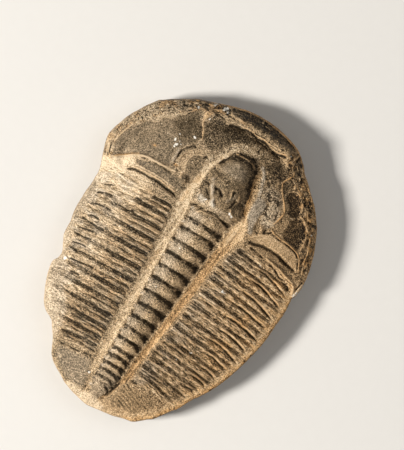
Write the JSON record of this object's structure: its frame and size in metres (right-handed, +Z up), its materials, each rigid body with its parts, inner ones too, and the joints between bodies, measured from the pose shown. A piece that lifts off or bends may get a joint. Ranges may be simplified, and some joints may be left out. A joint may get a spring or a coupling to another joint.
{
  "type": "trilobite fossil",
  "caption": "Loose trilobite fossil in grey-brown stone: domed ribbed back with raised ringed axis and broad head shield, flat underside; lies on a surface.",
  "frame": {"origin": "centre of the bounding box, on the flat underside", "axes": "+Y along the body towards the head, +X to the right seen from above with the head away from the viewer, +Z up out of the back"},
  "size_m": [0.027, 0.0368, 0.0068],
  "materials": {
    "fossil_stone": "matt grained shell, dark grey-brown, with tan sediment in the furrows and a rusty rim"
  },
  "bodies": {
    "root": {"trilobite_fossil": "fossil_stone"}
  },
  "joints": []
}
